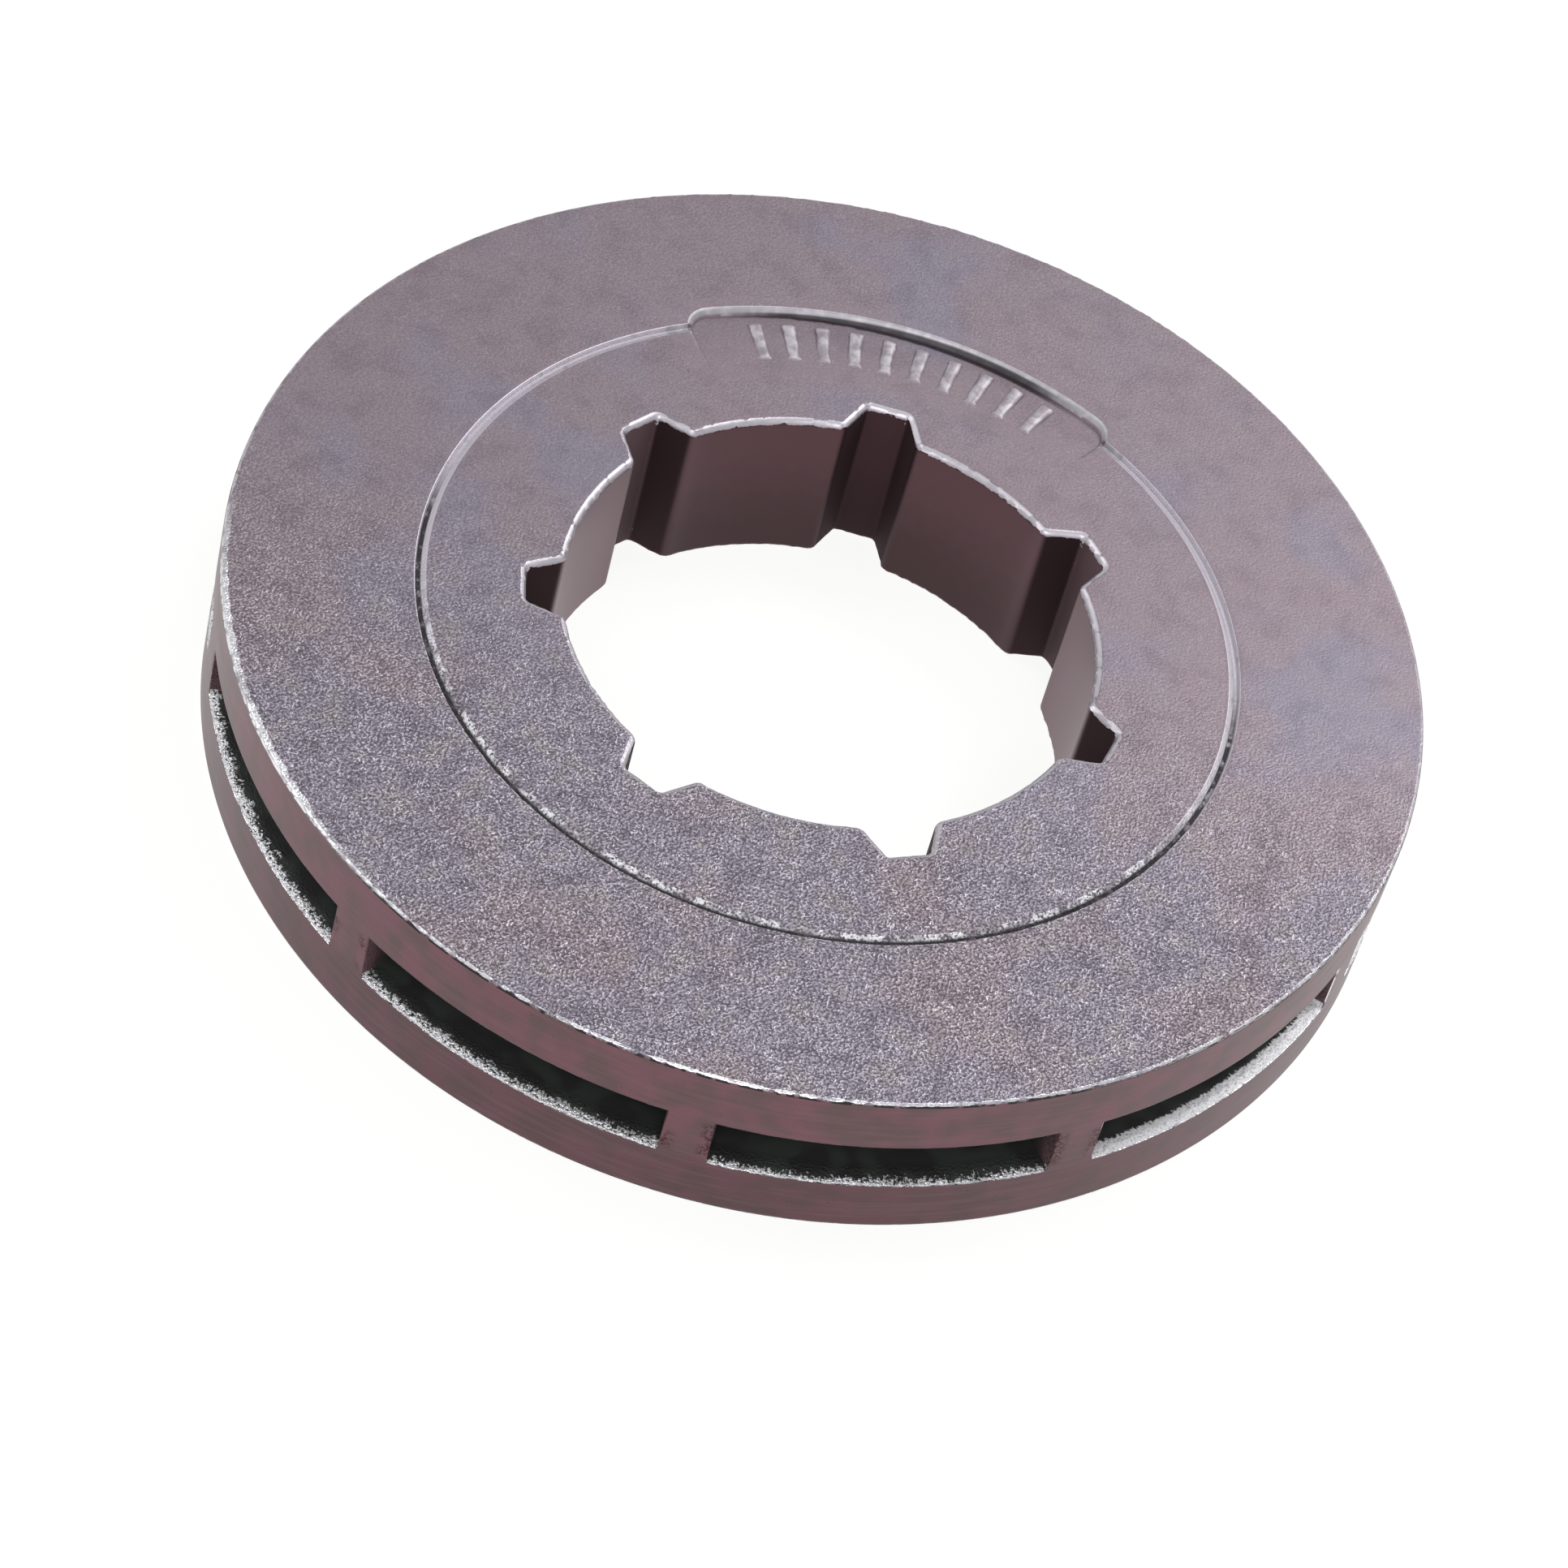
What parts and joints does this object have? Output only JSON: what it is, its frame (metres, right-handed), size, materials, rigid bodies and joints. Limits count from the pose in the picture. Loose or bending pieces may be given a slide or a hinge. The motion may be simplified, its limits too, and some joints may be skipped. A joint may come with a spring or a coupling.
{
  "type": "rim sprocket",
  "caption": "Flat ring-shaped chain drive sprocket with a splined bore and blind link pockets round its rim between solid flanges.",
  "frame": {"origin": "centre of the bore at the lower face", "axes": "+Z along the bore axis, out of the marked face; +Y through the middle of the marking panel, where one keyway and one rim web also lie"},
  "size_m": [0.055, 0.055, 0.0086],
  "materials": {
    "bare_steel": "blasted, bare, with bright worn edges"
  },
  "bodies": {
    "root": {"rim_sprocket": "bare_steel"}
  },
  "joints": []
}
